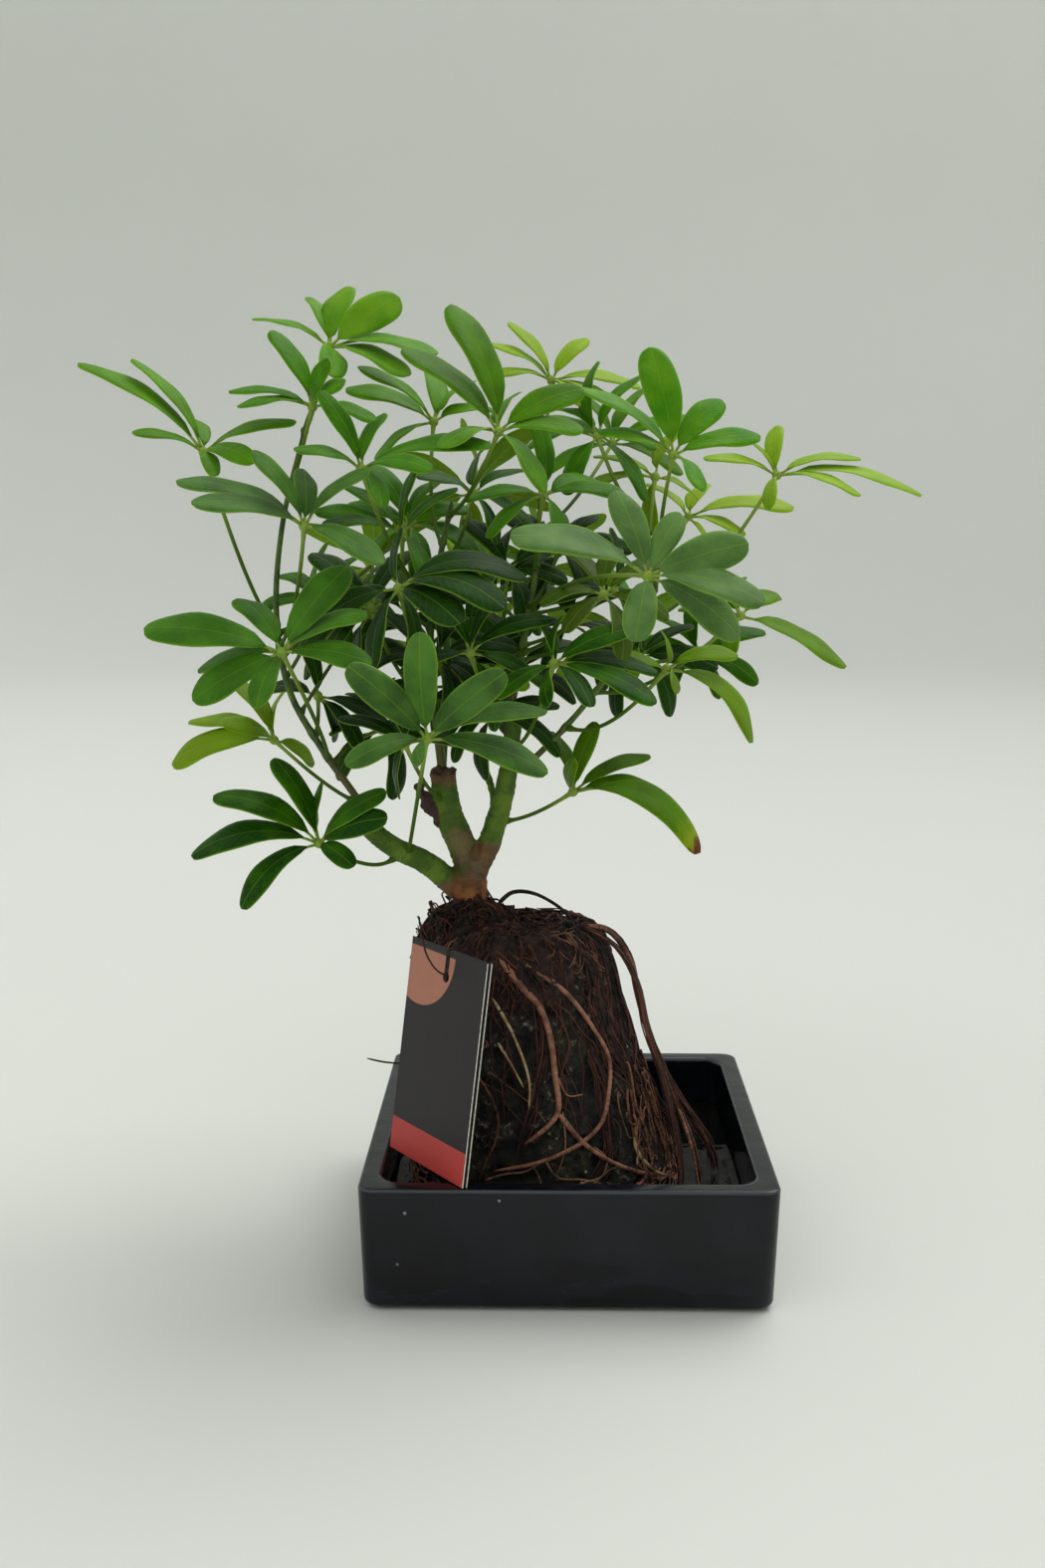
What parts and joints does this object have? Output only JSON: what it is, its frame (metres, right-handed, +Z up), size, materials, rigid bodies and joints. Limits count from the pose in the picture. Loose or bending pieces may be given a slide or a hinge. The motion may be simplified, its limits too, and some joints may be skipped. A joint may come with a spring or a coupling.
{
  "type": "potted umbrella plant",
  "caption": "Umbrella plant with fanned leaflets grown over a dark lava rock, standing in water in a square glazed tray, with a blank folded card tag.",
  "frame": {"origin": "centre of the tray's flat underside, on the surface that it stands on", "axes": "+Z up, -Y towards the front of the tray where the tag stands, +X to the right seen from the front"},
  "size_m": [0.3388, 0.2272, 0.382],
  "materials": {
    "glaze": "gloss, near black",
    "water": "still, clear",
    "lava": "porous, matt",
    "fibre": "matted dry fibre",
    "bark": "ringed bark, green higher up",
    "green_stem": "smooth green",
    "red_root": "smooth dry root",
    "pale_root": "thin dry root",
    "card": "satin print, white cut edges",
    "young_leaf": "satin leaf, yellow-green",
    "green_leaf": "satin leaf, mid green",
    "dark_leaf": "satin leaf, dark green"
  },
  "bodies": {
    "root": {"tray": "glaze", "water": "water", "lava_rock": "lava", "fibre_mound": "fibre", "trunk": "bark", "left_shoot": "green_stem", "centre_shoot": "green_stem", "right_shoot": "green_stem", "outer_shoot": "green_stem", "front_roots": "red_root", "pale_root_left": "pale_root", "pale_root_low": "pale_root", "side_roots": "red_root", "arch_root": "fibre", "hook_root": "fibre", "hang_tag": "card", "leaf_top_left": "young_leaf", "leaf_upper_left": "green_leaf", "leaf_top_middle": "green_leaf", "leaf_high_middle": "green_leaf", "leaf_far_left": "green_leaf", "leaf_left_front": "green_leaf", "leaf_inner_left": "green_leaf", "leaf_big_left": "green_leaf", "leaf_nearest": "green_leaf", "leaf_low_left": "green_leaf", "leaf_lowest_left": "green_leaf", "leaf_top_centre": "green_leaf", "leaf_top_back": "young_leaf", "leaf_top_right": "young_leaf", "leaf_behind_right": "green_leaf", "leaf_far_right": "young_leaf", "leaf_big_right": "green_leaf", "leaf_mid_right": "green_leaf", "leaf_low_right": "green_leaf", "leaf_centre_right": "green_leaf", "leaf_lowest_right": "green_leaf", "leaf_centre_front": "dark_leaf", "leaf_centre_low": "green_leaf", "leaf_inner_top": "dark_leaf", "leaf_upper_centre": "green_leaf", "leaf_back_right": "young_leaf", "leaf_dark_right": "dark_leaf", "leaf_dark_left": "dark_leaf", "leaf_low_centre": "dark_leaf", "leaf_rear_left": "green_leaf", "leaf_rear_top": "green_leaf", "leaf_rear_right": "green_leaf", "leaf_rear_low": "green_leaf", "leaf_rear_middle": "green_leaf", "leaf_rear_high": "green_leaf"}
  },
  "joints": []
}
